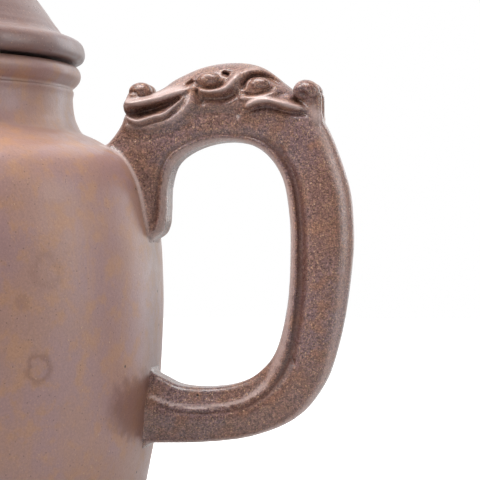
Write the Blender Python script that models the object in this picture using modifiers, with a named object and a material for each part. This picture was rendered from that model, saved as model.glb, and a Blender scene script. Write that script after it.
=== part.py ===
"""A clay teapot: barrel body, curved spout, loop handle with a beast's head, and a lift-off lid.

Metres, +Z up. The pot turns about the Z axis and stands on z = 0. The spout points along -X and
the handle along +X, and the two halves on either side of the XZ plane mirror each other.
"""
import math

import bmesh
import bpy
from mathutils import Matrix, Vector

MM = 0.001

# Clearances
GAP = 0.3 * MM  # between pieces that touch
LID_CLEARANCE = 0.4 * MM  # the lid's flange in the mouth, on the radius

# Body
WALL = 2.8 * MM
BODY_RADIUS = 45.3 * MM  # at the belly
BELLY_HEIGHT = 42.0 * MM
SHOULDER_HEIGHT = 65.0 * MM  # the rounded corner between wall and shoulder
BASE_RADIUS = 35.0 * MM
BASE_THICKNESS = 2.8 * MM
FOOT_HEIGHT = 3.2 * MM
FOOT_WIDTH = 4.0 * MM
FOOT_INSET = 0.6 * MM  # the foot ring stands in from the base's edge

# Neck and mouth
NECK_RADIUS = 30.0 * MM
NECK_RISE = 5.0 * MM  # shoulder corner to the bottom of the collar
COLLAR_HEIGHT = 6.7 * MM
RIM_OVERHANG = 1.4 * MM
RIM_HEIGHT = 3.9 * MM
MOUTH_RADIUS = 26.6 * MM

# Lid
LID_RIM_OVERHANG = 0.7 * MM  # past the mouth rim
LID_RIM_HEIGHT = 4.4 * MM
LID_WALL = 2.5 * MM
FLANGE_WALL = 2.4 * MM
FLANGE_DEPTH = 9.0 * MM
DOME_STEP = 3.4 * MM  # the dome's foot stands in from the lid's edge
DOME_HEIGHT = 16.4 * MM
KNOB_RADIUS = 7.6 * MM
KNOB_HEIGHT = 10.6 * MM
KNOB_BASE_RADIUS = 6.2 * MM
KNOB_BASE_HEIGHT = 2.2 * MM
VENT_RADIUS = 1.1 * MM

# Spout
SPOUT_REACH = 31.9 * MM  # past the belly
SPOUT_ROOT_RADIUS = 10.6 * MM
SPOUT_TIP_RADIUS = 5.6 * MM
SPOUT_WALL = 1.8 * MM
SPOUT_BORE_AT_WALL = 7.9 * MM
STRAINER_THICKNESS = 1.7 * MM
STRAINER_SETBACK = 1.1 * MM  # its middle, in from the wall's outside at its lower edge
STRAINER_HOLE_RADIUS = 1.1 * MM
STRAINER_HOLE_RING = 4.6 * MM

# Handle
HANDLE_THICKNESS = 7.8 * MM
HANDLE_EDGE = 1.7 * MM  # rounding of its long edges

STEPS = 48  # around a turned piece
SMALL_STEPS = 28  # around the knob

# Where the outline of the barrel runs, from the base up: how far in from BODY_RADIUS, in mm,
# and the height as a share of the height it belongs to.
LOWER_WALL = [(6.6, 0.10), (4.2, 0.17), (2.9, 0.31), (1.4, 0.50), (0.4, 0.76)]  # of BELLY_HEIGHT
UPPER_WALL = [(0.4, 0.42), (1.2, 0.66), (2.6, 0.87)]  # of the rise from belly to shoulder
CORNER = [(3.9, 0.0), (6.2, 1.3), (9.1, 2.4)]  # in from BODY_RADIUS and up from SHOULDER_HEIGHT, mm

# The handle in the XZ plane, in mm past BODY_RADIUS and above SHOULDER_HEIGHT: over the head from
# the throat, down the back and in to the lower joint, then back up inside the finger opening.
HANDLE_BACK = [
    (-13.0, -2.0), (-9.0, 1.8), (-6.0, 6.0), (-5.2, 10.6), (-0.9, 11.8), (3.4, 13.4),
    (8.0, 15.1), (12.8, 15.6), (17.2, 14.8), (21.4, 11.9), (25.4, 8.6), (27.6, 5.2),
    (29.8, 0.4), (31.4, -5.5), (31.9, -12.0), (31.8, -17.0), (31.0, -23.5), (29.6, -29.5),
    (27.0, -35.6), (22.8, -40.8), (16.5, -44.0), (9.0, -45.4), (0.5, -45.9), (-8.0, -46.0),
]
HANDLE_INSIDE = [
    (-8.0, -33.0), (-0.5, -34.2), (4.0, -36.1), (8.8, -36.4), (13.4, -35.9), (17.2, -34.2),
    (19.8, -30.4), (21.2, -23.0), (21.7, -15.0), (21.5, -8.8), (20.3, -3.0), (17.6, 1.2),
    (13.0, 2.8), (8.0, 1.9), (4.2, -0.6), (2.8, -4.0), (2.3, -8.9), (-0.6, -13.2), (-8.0, -13.4),
]

# Pellets on the head: name, centre past BODY_RADIUS and above SHOULDER_HEIGHT, distance from the
# XZ plane, and half sizes, in mm
PELLETS = [
    ("nostril", (-2.0, 11.6), 2.2, (2.0, 1.8, 1.3)),
    ("cheek_bead", (9.2, 12.4), 3.9, (2.3, 1.3, 1.4)),
    ("eye", (17.2, 11.5), 3.9, (1.8, 1.4, 1.2)),
    ("ear", (24.9, 10.9), 2.6, (2.0, 1.8, 1.7)),
]
BROW = [(14.3, 12.3), (15.4, 13.6), (17.2, 14.0), (19.2, 13.4), (20.4, 12.2)]
BROW_RADIUS = 0.55 * MM
BROW_FROM_PLANE = 3.9 * MM


# ---------------------------------------------------------------- helpers

def material(name, colour, roughness):
    """One fired-clay colour."""
    clay = bpy.data.materials.new(name)
    clay.use_nodes = True
    shader = clay.node_tree.nodes["Principled BSDF"]
    shader.inputs["Base Color"].default_value = (*colour, 1.0)
    shader.inputs["Roughness"].default_value = roughness
    shader.inputs["Metallic"].default_value = 0.0
    return clay


def smooth_line(points, steps):
    """Points along a Catmull-Rom curve through the given points, ends included."""
    before = [2 * points[0] - points[1]]
    after = [2 * points[-1] - points[-2]]
    padded = before + list(points) + after
    line = []
    for a, b, c, d in zip(padded, padded[1:], padded[2:], padded[3:]):
        for step in range(steps):
            t = step / steps
            bend = (c - a) * t + (2 * a - 5 * b + 4 * c - d) * t**2 + (3 * b - 3 * c + d - a) * t**3
            line.append(b + bend / 2)
    line.append(points[-1])
    return line


def moved_in(line, distance):
    """The line moved to its left by a distance, along the normal at each point."""
    moved = []
    for index, point in enumerate(line):
        ahead = line[min(index + 1, len(line) - 1)]
        behind = line[max(index - 1, 0)]
        along = (ahead - behind).normalized()
        moved.append(point + Vector((-along.y, along.x)) * distance)
    return moved


def closed_section(outside, inside):
    """The closed section between two lines, both given from the bottom."""
    return list(reversed(outside)) + inside


def new_object(name, mesh, clay, collection):
    """An object of that mesh and clay, in the collection."""
    item = bpy.data.objects.new(name, mesh)
    if clay:
        item.data.materials.append(clay)
    collection.objects.link(item)
    return item


def turned(name, section, clay, collection, closed=True, steps=STEPS):
    """A section of (radius, height) points turned about the Z axis.

    A closed section makes a ring. An open one starts and ends on the axis.
    """
    mesh = bpy.data.meshes.new(name)
    points = [(point[0], 0.0, point[1]) for point in section]
    edges = [(index, index + 1) for index in range(len(points) - 1)]
    if closed:
        edges.append((len(points) - 1, 0))
    mesh.from_pydata(points, edges, [])
    item = new_object(name, mesh, clay, collection)
    screw = item.modifiers.new("turn", "SCREW")
    screw.axis = "Z"
    screw.steps = steps
    screw.render_steps = steps
    screw.use_merge_vertices = True
    screw.merge_threshold = 0.00001
    screw.use_smooth_shade = True
    return item


def cut(item, cutter):
    """Takes the cutter's space away from the item."""
    boolean = item.modifiers.new("cut by " + cutter.name, "BOOLEAN")
    boolean.operation = "DIFFERENCE"
    boolean.object = cutter
    boolean.solver = "EXACT"


def as_cutter(item):
    """The item as a cutter, which isn't one of the parts."""
    item.hide_render = True
    item.display_type = "WIRE"
    return item


def tube(name, path, radii, clay, collection, resolution=3):
    """A tube along a path of (x, y, z) points with a radius at each, closed at both ends."""
    curve = bpy.data.curves.new(name, "CURVE")
    curve.dimensions = "3D"
    curve.bevel_depth = 1.0
    curve.bevel_resolution = resolution
    curve.use_fill_caps = True
    spline = curve.splines.new("POLY")
    spline.points.add(len(path) - 1)
    for point, place, radius in zip(spline.points, path, radii):
        point.co = (*place, 1.0)
        point.radius = radius
    return curve_to_mesh(name, curve, Matrix.Identity(4), clay, collection)


def curve_to_mesh(name, curve, placed, clay, collection):
    """The curve's mesh with its caps welded, in place of the curve."""
    drawn = bpy.data.objects.new(name + " curve", curve)
    drawn.matrix_world = placed
    collection.objects.link(drawn)
    graph = bpy.context.evaluated_depsgraph_get()
    mesh = bpy.data.meshes.new_from_object(drawn.evaluated_get(graph))
    bpy.data.objects.remove(drawn)
    welded = bmesh.new()
    welded.from_mesh(mesh)
    bmesh.ops.remove_doubles(welded, verts=welded.verts, dist=0.00001)
    bmesh.ops.recalc_face_normals(welded, faces=welded.faces)
    welded.to_mesh(mesh)
    welded.free()
    mesh.materials.clear()
    mesh.shade_smooth()
    mesh.set_sharp_from_angle(angle=math.radians(40))
    item = new_object(name, mesh, clay, collection)
    item.matrix_world = placed
    return item


def flat_piece(name, outline, thickness, edge, clay, collection):
    """An outline in the XZ plane given a thickness across it, with rounded edges."""
    curve = bpy.data.curves.new(name, "CURVE")
    curve.dimensions = "2D"
    curve.fill_mode = "BOTH"
    curve.extrude = thickness / 2 - edge
    curve.bevel_depth = edge
    curve.bevel_resolution = 1
    curve.offset = -edge
    spline = curve.splines.new("POLY")
    spline.points.add(len(outline) - 1)
    spline.use_cyclic_u = True
    for point, place in zip(spline.points, outline):
        point.co = (place[0], place[1], 0.0, 1.0)
    upright = Matrix.Rotation(math.radians(90), 4, "X")
    return curve_to_mesh(name, curve, upright, clay, collection)


def ellipsoid(name, centre, half_sizes, clay, collection):
    """A pellet: a ball stretched to three half sizes."""
    mesh = bpy.data.meshes.new(name)
    ball = bmesh.new()
    bmesh.ops.create_uvsphere(ball, u_segments=12, v_segments=8, radius=1.0)
    bmesh.ops.scale(ball, vec=half_sizes, verts=ball.verts)
    ball.to_mesh(mesh)
    ball.free()
    mesh.shade_smooth()
    item = new_object(name, mesh, clay, collection)
    item.location = centre
    return item


# ---------------------------------------------------------------- outlines

def pot_outline():
    """The outside of the barrel and shoulder, from the base's edge up to the neck."""
    rise = SHOULDER_HEIGHT - BELLY_HEIGHT
    points = [Vector((BASE_RADIUS + GAP, FOOT_HEIGHT + GAP))]
    for inset, share in LOWER_WALL:
        points.append(Vector((BODY_RADIUS - inset * MM, share * BELLY_HEIGHT)))
    points.append(Vector((BODY_RADIUS, BELLY_HEIGHT)))
    for inset, share in UPPER_WALL:
        points.append(Vector((BODY_RADIUS - inset * MM, BELLY_HEIGHT + share * rise)))
    for inset, up in CORNER:
        points.append(Vector((BODY_RADIUS - inset * MM, SHOULDER_HEIGHT + up * MM)))
    points.append(Vector((NECK_RADIUS + 2.0 * MM, collar_bottom() - 0.3 * MM)))
    points.append(Vector((NECK_RADIUS + 1.0 * MM, collar_bottom() + 0.1 * MM)))
    return points


def wall_section():
    """The barrel wall's section; its lower end stands against the edge of the base plate."""
    outside = pot_outline()
    inside = moved_in(outside, WALL)
    inside[0] = Vector((BASE_RADIUS + GAP, outside[0].y + WALL))
    seam = wall_points()
    return closed_section(outside[:seam], inside[:seam])


def shoulder_section():
    """The shoulder's section, from its seam with the wall to the straight side of the mouth."""
    outside = pot_outline()
    inside = moved_in(outside, WALL)
    seam = wall_points() - 1
    along = (outside[seam + 1] - outside[seam - 1]).normalized()
    outside = [outside[seam] + along * GAP] + outside[seam + 1:]
    inside = [inside[seam] + along * GAP] + inside[seam + 1:-1]
    inside.append(Vector((MOUTH_RADIUS, inside[-1].y + 0.6 * MM)))
    inside.append(Vector((MOUTH_RADIUS, outside[-1].y)))
    return closed_section(outside, inside)


def wall_radius_at(height):
    """The outside radius of the barrel at a height."""
    outside = pot_outline()
    for low, high in zip(outside, outside[1:]):
        if low.y <= height <= high.y:
            return low.x + (high.x - low.x) * (height - low.y) / (high.y - low.y)
    return BODY_RADIUS


def wall_points():
    """How many of the outline's points belong to the wall."""
    return 1 + len(LOWER_WALL) + 1 + len(UPPER_WALL)


def collar_bottom():
    return SHOULDER_HEIGHT + NECK_RISE


def collar_top():
    return collar_bottom() + COLLAR_HEIGHT


def mouth_height():
    return collar_top() + GAP + RIM_HEIGHT


def lid_edge_radius():
    return NECK_RADIUS + RIM_OVERHANG + LID_RIM_OVERHANG


def dome_base_height():
    return mouth_height() + GAP + LID_RIM_HEIGHT + GAP


def dome_top_height():
    return dome_base_height() + DOME_HEIGHT


def rounded_ring(inner, outer, bottom, top, bulge):
    """A ring's section with a bulging outer side, down the outside first."""
    middle = (bottom + top) / 2
    half = (top - bottom) / 2
    section = [(outer - bulge, top)]
    for degrees in (50, 25, 0, -25, -50):
        angle = math.radians(degrees)
        section.append((outer - bulge + bulge * math.cos(angle), middle + half * math.sin(angle)))
    section += [(outer - bulge, bottom), (inner, bottom), (inner, top)]
    return section


def handle_outline():
    """The whole handle's outline; both of its ends lie inside the pot's envelope."""
    outline = HANDLE_BACK + HANDLE_INSIDE
    points = [Vector((BODY_RADIUS + x * MM, SHOULDER_HEIGHT + z * MM)) for x, z in outline]
    return smooth_line(points, 2)


def spout_path():
    """The spout's middle line, from inside the pot to past the tip, with its outer radii."""
    rise = mouth_height()
    tip_x = BODY_RADIUS + SPOUT_REACH - SPOUT_TIP_RADIUS
    start_x = BODY_RADIUS - 9.0 * MM
    reach = tip_x - start_x
    line = smooth_line(
        [
            Vector((-start_x, 0.0, 0.37 * rise)),
            Vector((-start_x - 0.36 * reach, 0.0, 0.42 * rise)),
            Vector((-start_x - 0.64 * reach, 0.0, 0.57 * rise)),
            Vector((-start_x - 0.83 * reach, 0.0, 0.78 * rise)),
            Vector((-tip_x, 0.0, rise)),
            Vector((-tip_x - 0.10 * reach, 0.0, 1.12 * rise)),
        ],
        2,
    )
    share = [index / (len(line) - 3) for index in range(len(line))]
    taper = SPOUT_ROOT_RADIUS - SPOUT_TIP_RADIUS
    radii = [SPOUT_TIP_RADIUS + taper * max(0.0, 1.0 - part) ** 1.3 for part in share]
    return line, radii


# ---------------------------------------------------------------- pieces

def pot_envelope(cutters):
    """The pot's outside, solid and GAP larger, which every applied piece is cut to."""
    outside = pot_outline()
    outside += [
        Vector((NECK_RADIUS, collar_bottom() + 1.6 * MM)),
        Vector((NECK_RADIUS, mouth_height())),
    ]
    grown = moved_in(outside, -GAP)
    section = [Vector((0.0, mouth_height()))] + list(reversed(grown))
    section.append(Vector((0.0, grown[0].y)))
    return as_cutter(turned("pot envelope", section, None, cutters, closed=False))


def make_body(clay, parts):
    foot_outer = BASE_RADIUS - FOOT_INSET
    foot = rounded_ring(foot_outer - FOOT_WIDTH, foot_outer, 0.0, FOOT_HEIGHT, 0.8 * MM)
    turned("foot_ring", foot, clay, parts)

    bottom = FOOT_HEIGHT + GAP
    top = bottom + BASE_THICKNESS
    plate = [(0.0, top), (BASE_RADIUS, top), (BASE_RADIUS, bottom), (0.0, bottom)]
    turned("base_plate", plate, clay, parts, closed=False)

    wall = turned("body_wall", wall_section(), clay, parts)
    turned("shoulder_plate", shoulder_section(), clay, parts)

    collar_low = collar_bottom() + GAP
    collar = [
        (NECK_RADIUS, collar_top()),
        (NECK_RADIUS, collar_low + 2.6 * MM),
        (NECK_RADIUS + 0.35 * MM, collar_low + 1.2 * MM),
        (NECK_RADIUS + 1.0 * MM, collar_low + 0.3 * MM),
        (MOUTH_RADIUS, collar_low + 0.3 * MM),
        (MOUTH_RADIUS, collar_top()),
    ]
    turned("neck_collar", collar, clay, parts)

    rim_outer = NECK_RADIUS + RIM_OVERHANG
    rim = rounded_ring(MOUTH_RADIUS, rim_outer, collar_top() + GAP, mouth_height(), 2.4 * MM)
    turned("mouth_rim", rim, clay, parts)
    return wall


def make_lid(clay, parts):
    edge = lid_edge_radius()
    under = mouth_height() + GAP
    flange_outer = MOUTH_RADIUS - LID_CLEARANCE
    flange_inner = flange_outer - FLANGE_WALL
    rim = rounded_ring(flange_inner, edge, under, under + LID_RIM_HEIGHT, 1.9 * MM)
    turned("lid_rim", rim, clay, parts)

    flange = [
        (flange_outer, under - GAP),
        (flange_outer, under - FLANGE_DEPTH),
        (flange_inner, under - FLANGE_DEPTH),
        (flange_inner, under - GAP),
    ]
    turned("lid_flange", flange, clay, parts)

    turned("lid_dome", dome_section(), clay, parts)

    stand = dome_top_height() + GAP
    base = rounded_ring(VENT_RADIUS, KNOB_BASE_RADIUS, stand, stand + KNOB_BASE_HEIGHT, 1.0 * MM)
    turned("knob_base", base, clay, parts, steps=SMALL_STEPS)

    low = stand + KNOB_BASE_HEIGHT + GAP
    knob = rounded_ring(VENT_RADIUS, KNOB_RADIUS, low, low + KNOB_HEIGHT, 4.2 * MM)
    turned("knob", knob, clay, parts, steps=SMALL_STEPS)


def dome_section():
    """The dome's section: a spherical cap from its foot up to the flat under the knob's base."""
    foot = lid_edge_radius() - DOME_STEP
    base = dome_base_height()
    flat = KNOB_BASE_RADIUS
    points = []
    sphere_radius = (foot**2 + DOME_HEIGHT**2) / (2 * DOME_HEIGHT)
    middle = dome_top_height() - sphere_radius
    start = math.asin((base - middle) / sphere_radius)
    end = math.acos(flat / sphere_radius)
    for step in range(8):
        angle = start + (end - start) * step / 7
        ray = Vector((math.cos(angle), math.sin(angle)))
        points.append(Vector((0.0, middle)) + ray * sphere_radius)
    points[-1].y = dome_top_height()
    inside = moved_in(points, LID_WALL)
    inside[0] = Vector((foot - LID_WALL, base))
    top = [Vector((VENT_RADIUS, dome_top_height() - LID_WALL)), Vector((VENT_RADIUS, dome_top_height()))]
    return list(reversed(points)) + inside + top


def make_spout(clay, parts, cutters, envelope, wall):
    line, radii = spout_path()
    bore_radii = [radius - SPOUT_WALL for radius in radii]
    spout = tube("spout", line, radii, clay, parts)
    bore = as_cutter(tube("spout bore", line, bore_radii, None, cutters))
    lip = as_cutter(tip_trimmer(cutters, line))
    cut(spout, envelope)
    cut(spout, bore)
    cut(spout, lip)

    root = line[0]
    inner = Vector((12.0 * MM - BODY_RADIUS, 0.0, root.z))
    outer = Vector((-3.0 * MM - BODY_RADIUS, 0.0, root.z))
    hole = tube("wall hole", [inner, outer], [SPOUT_BORE_AT_WALL] * 2, None, cutters, resolution=6)
    cut(wall, as_cutter(hole))
    make_strainer(clay, parts, cutters, root.z)


def tip_trimmer(cutters, line):
    """A block above the mouth's height that trims the spout's tip level."""
    mesh = bpy.data.meshes.new("spout tip trimmer")
    block = bmesh.new()
    bmesh.ops.create_cube(block, size=60.0 * MM)
    block.to_mesh(mesh)
    block.free()
    item = new_object("spout tip trimmer", mesh, None, cutters)
    item.location = (line[-3].x, 0.0, mouth_height() + 30.0 * MM)
    return item


def make_strainer(clay, parts, cutters, height):
    """A pierced disc in the wall's hole: one hole in the middle and six around it."""
    radius = SPOUT_BORE_AT_WALL - GAP
    middle = Vector((STRAINER_SETBACK - wall_radius_at(height - radius), 0.0, height))
    half = Vector((STRAINER_THICKNESS / 2, 0.0, 0.0))
    disc = tube("spout_strainer", [middle + half, middle - half], [radius] * 2, clay, parts, resolution=6)
    ring = [Vector((0.0, math.cos(turn), math.sin(turn))) for turn in (k * math.pi / 3 for k in range(6))]
    holes = [Vector((0.0, 0.0, 0.0))] + [spoke * STRAINER_HOLE_RING for spoke in ring]
    for index, place in enumerate(holes):
        ends = [middle + place + 3 * half, middle + place - 3 * half]
        drill = tube(f"strainer drill {index}", ends, [STRAINER_HOLE_RADIUS] * 2, None, cutters, resolution=1)
        cut(disc, as_cutter(drill))


def make_handle(clay, parts, cutters, envelope):
    """The loop handle, with a socket for every pellet and brow set on its head."""
    handle = flat_piece("handle_loop", handle_outline(), HANDLE_THICKNESS, HANDLE_EDGE, clay, parts)
    cut(handle, envelope)
    for name, (x, z), from_plane, half_sizes in PELLETS:
        for side, word in ((-1, "right"), (1, "left")):
            centre = (BODY_RADIUS + x * MM, side * from_plane * MM, SHOULDER_HEIGHT + z * MM)
            half = Vector(half_sizes) * MM
            ellipsoid(f"{name}_{word}", centre, half, clay, parts)
            larger = half + Vector((GAP, GAP, GAP))
            cut(handle, as_cutter(ellipsoid(f"{name} {word} socket", centre, larger, None, cutters)))
    for side, word in ((-1, "right"), (1, "left")):
        make_brow(side, word, clay, parts, cutters, handle)


def make_brow(side, word, clay, parts, cutters, handle):
    """A thin coil arched over an eye."""
    points = []
    for x, z in BROW:
        points.append(Vector((BODY_RADIUS + x * MM, side * BROW_FROM_PLANE, SHOULDER_HEIGHT + z * MM)))
    line = smooth_line(points, 2)
    tube(f"brow_{word}", line, [BROW_RADIUS] * len(line), clay, parts, resolution=1)
    radii = [BROW_RADIUS + GAP] * len(line)
    socket = tube(f"brow {word} socket", lengthened(line), radii, None, cutters, resolution=1)
    cut(handle, as_cutter(socket))


def lengthened(line):
    """The line with each end pushed out by GAP."""
    start = line[0] + (line[0] - line[1]).normalized() * GAP
    end = line[-1] + (line[-1] - line[-2]).normalized() * GAP
    return [start] + line[1:-1] + [end]


def main():
    for item in list(bpy.data.objects):
        bpy.data.objects.remove(item)
    parts = bpy.data.collections.new("teapot")
    cutters = bpy.data.collections.new("teapot cutters")
    bpy.context.scene.collection.children.link(parts)
    bpy.context.scene.collection.children.link(cutters)

    body_clay = material("purple clay", (0.23, 0.14, 0.11), 0.5)
    lid_clay = material("purple clay, lid", (0.21, 0.13, 0.11), 0.5)
    handle_clay = material("purple clay, handle", (0.20, 0.13, 0.10), 0.5)

    envelope = pot_envelope(cutters)
    wall = make_body(body_clay, parts)
    make_lid(lid_clay, parts)
    make_spout(body_clay, parts, cutters, envelope, wall)
    make_handle(handle_clay, parts, cutters, envelope)


main()
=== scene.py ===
import math

import bmesh
import bpy
import numpy as np
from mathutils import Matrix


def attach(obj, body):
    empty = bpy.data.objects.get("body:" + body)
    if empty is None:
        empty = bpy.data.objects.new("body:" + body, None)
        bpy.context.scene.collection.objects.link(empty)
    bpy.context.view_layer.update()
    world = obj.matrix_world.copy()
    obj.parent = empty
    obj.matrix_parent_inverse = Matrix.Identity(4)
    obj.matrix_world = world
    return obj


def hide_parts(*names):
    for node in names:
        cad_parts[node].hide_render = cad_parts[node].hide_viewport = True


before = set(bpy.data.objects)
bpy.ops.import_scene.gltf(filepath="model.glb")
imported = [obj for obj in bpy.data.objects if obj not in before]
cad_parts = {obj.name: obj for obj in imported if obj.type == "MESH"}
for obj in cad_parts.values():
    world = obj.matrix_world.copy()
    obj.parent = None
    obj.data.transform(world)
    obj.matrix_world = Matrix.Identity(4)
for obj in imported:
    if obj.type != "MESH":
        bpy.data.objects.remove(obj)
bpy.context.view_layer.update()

import openvdb
from mathutils import Vector

# A clay teapot with a beast's-head loop handle, seen level from the handle's right side.
# Shapes are worked out in mm in the frame's axes and turned to metres when a mesh is made.

MM = 0.001
BELLY_RADIUS = 45.3
SHOULDER_HEIGHT = 65.0
MOUTH_HEIGHT = 80.9

# How finely lines are smoothed and outlines turned
LINE_STEPS = 8
TURNED_LINE_STEPS = 6
TURN_STEPS = 256

# How far thrown pieces are out of true, how that turns with height, in radians per mm, and the radius
# where it reaches its full size
WHEEL_WOBBLE = 0.04
WOBBLE_TWIST = 0.09
WOBBLE_RADIUS = 20

# The largest distance that a field keeps, and a height above the pot's table of distances
FIELD_LIMIT = 3.0
ABOVE_TABLE = 95.0

# The grids that distance fields are worked out on, as (start, end, step). The handle's are across,
# sideways and up in its own coordinates, and finer up the head, which has the modelling.
TABLE_STEP = 0.25
POT_TABLE_RADII = (20.0, 64.0, TABLE_STEP)
POT_TABLE_HEIGHTS = (0.0, 92.0, TABLE_STEP)
HANDLE_ACROSS = (-13.5, 33.8, 0.22)
HANDLE_SIDEWAYS = (-8.0, 8.01, 0.25)
HANDLE_UP_BAR = (-49.0, -2.0, 0.4)
HANDLE_UP_HEAD = (-2.0, 19.0, 0.18)
SPOUT_ACROSS = (-78.5, -33.0, 0.42)
SPOUT_SIDEWAYS = (-15.0, 15.01, 0.42)
SPOUT_UP = (12.0, 83.0, 0.42)
STRAINER_THROUGH = (-1.6, 1.61, 0.2)
STRAINER_ACROSS = (-8.4, 8.41, 0.2)

# The pot's outside as (radius, height), from its bottom edge up to the neck's top
POT_OUTSIDE = [
    (35.0, 3.3), (37.2, 3.7), (38.9, 4.7), (40.2, 6.2), (41.3, 8.3), (42.1, 10.6), (42.6, 12.7),
    (43.2, 15.8), (43.8, 19.0), (44.3, 23.8), (44.8, 29.8), (45.1, 35.0), (45.35, 42.0), (45.2, 48.0),
    (44.9, 52.5), (44.25, 56.4), (43.7, 59.2), (42.9, 61.8), (41.4, 64.5), (39.1, 66.3), (36.2, 67.5),
    (34.2, 68.6), (33.1, 69.1), (32.0, 69.6), (31.4, 70.2), (30.9, 71.2), (30.5, 72.2), (30.2, 73.7),
    (30.05, 75.5), (30.0, 77.0),
]
POT_INSIDE = [
    (27.2, 77.0), (27.2, 72.0), (27.5, 69.6), (28.6, 67.6), (31.0, 66.0), (34.4, 64.9), (37.6, 63.6),
    (39.8, 61.6), (41.2, 58.0), (42.1, 51.0), (42.5, 42.0), (41.9, 29.8), (41.0, 20.0), (39.6, 12.3),
    (37.9, 8.4), (35.0, 6.4), (33.0, 6.1), (33.0, 3.7),
]
MOUTH_RIM = [
    (29.9, 76.7), (30.1, 77.35), (30.7, 77.95), (31.2, 78.6), (31.4, 79.4), (31.2, 80.2), (30.7, 80.75),
    (30.0, 80.9), (28.6, 80.9), (27.2, 80.9), (26.75, 80.6), (26.6, 80.0), (26.6, 78.6), (26.6, 77.2),
    (27.1, 76.6), (28.5, 76.5),
]
BASE_PLATE = [
    (0.0, 3.7), (15.0, 3.65), (30.0, 3.5), (34.4, 3.5), (35.0, 3.7), (35.1, 4.4), (34.9, 5.6),
    (34.3, 6.2), (30.0, 6.3), (15.0, 6.25), (0.0, 6.2),
]
FOOT_RING = [
    (30.4, 3.6), (30.4, 1.6), (30.7, 0.6), (31.4, 0.1), (32.4, 0.0), (33.4, 0.1), (34.1, 0.6),
    (34.4, 1.5), (34.4, 2.6), (34.7, 3.3), (35.0, 3.7), (33.0, 3.9),
]
LID_RIM = [
    (26.4, 81.5), (28.0, 81.45), (30.2, 81.45), (31.1, 81.6), (31.7, 81.9), (32.0, 82.4), (32.1, 83.0),
    (32.0, 83.7), (31.8, 84.3), (31.4, 84.8), (30.8, 85.2), (29.9, 85.55), (28.9, 85.85), (27.6, 85.95),
    (26.6, 85.5), (26.3, 84.5), (26.25, 82.5),
]
LID_DOME = [
    (29.1, 85.7), (28.65, 86.05), (28.1, 86.6), (27.6, 87.3), (27.2, 87.8), (26.85, 88.3), (26.5, 88.8),
    (25.85, 89.8), (25.1, 90.8), (24.3, 91.9), (23.0, 93.4), (21.2, 95.1), (18.8, 96.9), (15.8, 98.7),
    (12.4, 100.3), (8.8, 101.5), (5.0, 102.15), (1.1, 102.3), (1.1, 99.9), (4.6, 99.6), (8.2, 98.9),
    (11.6, 97.8), (14.8, 96.3), (17.6, 94.6), (19.8, 92.9), (21.6, 91.0), (22.8, 89.4), (24.2, 87.2),
    (25.4, 86.0), (27.4, 85.7),
]
LID_FLANGE = [
    (26.2, 81.6), (26.2, 78.0), (26.15, 74.0), (25.9, 72.7), (25.2, 72.2), (24.5, 72.4), (24.0, 73.2),
    (23.8, 75.5), (23.8, 80.0), (23.9, 82.6), (24.6, 84.6), (25.6, 86.2), (26.9, 86.0), (26.6, 84.0),
]
KNOB_BASE = [
    (1.1, 101.9), (4.5, 101.95), (6.9, 101.7), (7.2, 102.05), (6.6, 102.55), (5.9, 103.0),
    (5.35, 103.6), (5.1, 104.3), (5.2, 105.0), (4.4, 105.4), (2.6, 105.5), (1.1, 105.5),
]
KNOB = [
    (1.1, 105.2), (3.0, 105.15), (4.6, 105.3), (5.9, 105.95), (6.9, 107.2), (7.45, 108.9), (7.6, 110.5),
    (7.45, 112.0), (6.8, 113.5), (5.7, 114.7), (4.2, 115.4), (2.6, 115.65), (1.6, 115.6), (1.15, 115.3),
    (1.1, 114.6),
]

# The handle's outline, in mm past BELLY_RADIUS and above SHOULDER_HEIGHT. The outer side goes from
# the shoulder over the head and down to the lower joint, with the bevel's width and drop at each
# point. The inner side goes round the finger hole, with the width of its bevel, the half width and
# depth of the crease behind it, and the bevel's drop.
HANDLE_OUTER = [
    (-13.0, -2.0, 1.0, 0.6), (-8.5, 1.7, 1.2, 0.8), (-5.5, 5.9, 1.2, 0.9), (-4.9, 10.0, 1.8, 1.6),
    (0.0, 11.2, 2.2, 1.8), (3.4, 13.3, 3.2, 2.4), (8.0, 15.05, 3.6, 2.7), (12.8, 15.6, 3.6, 2.7),
    (17.2, 14.8, 3.4, 2.6), (21.4, 11.8, 3.0, 2.4), (25.2, 8.6, 3.0, 2.2), (27.7, 5.1, 3.0, 2.4),
    (29.7, 0.5, 2.8, 2.7), (31.5, -5.5, 2.5, 2.8), (32.0, -12.0, 2.4, 2.8), (31.75, -17.0, 2.4, 2.8),
    (30.9, -23.5, 2.3, 2.6), (29.65, -29.5, 2.0, 2.2), (27.45, -35.8, 1.5, 1.7),
    (23.15, -41.2, 1.1, 1.3), (16.5, -44.2, 0.9, 1.1), (9.0, -45.4, 0.9, 1.1), (0.5, -45.7, 0.9, 1.1),
    (-8.0, -45.8, 0.9, 1.1),
]
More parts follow.
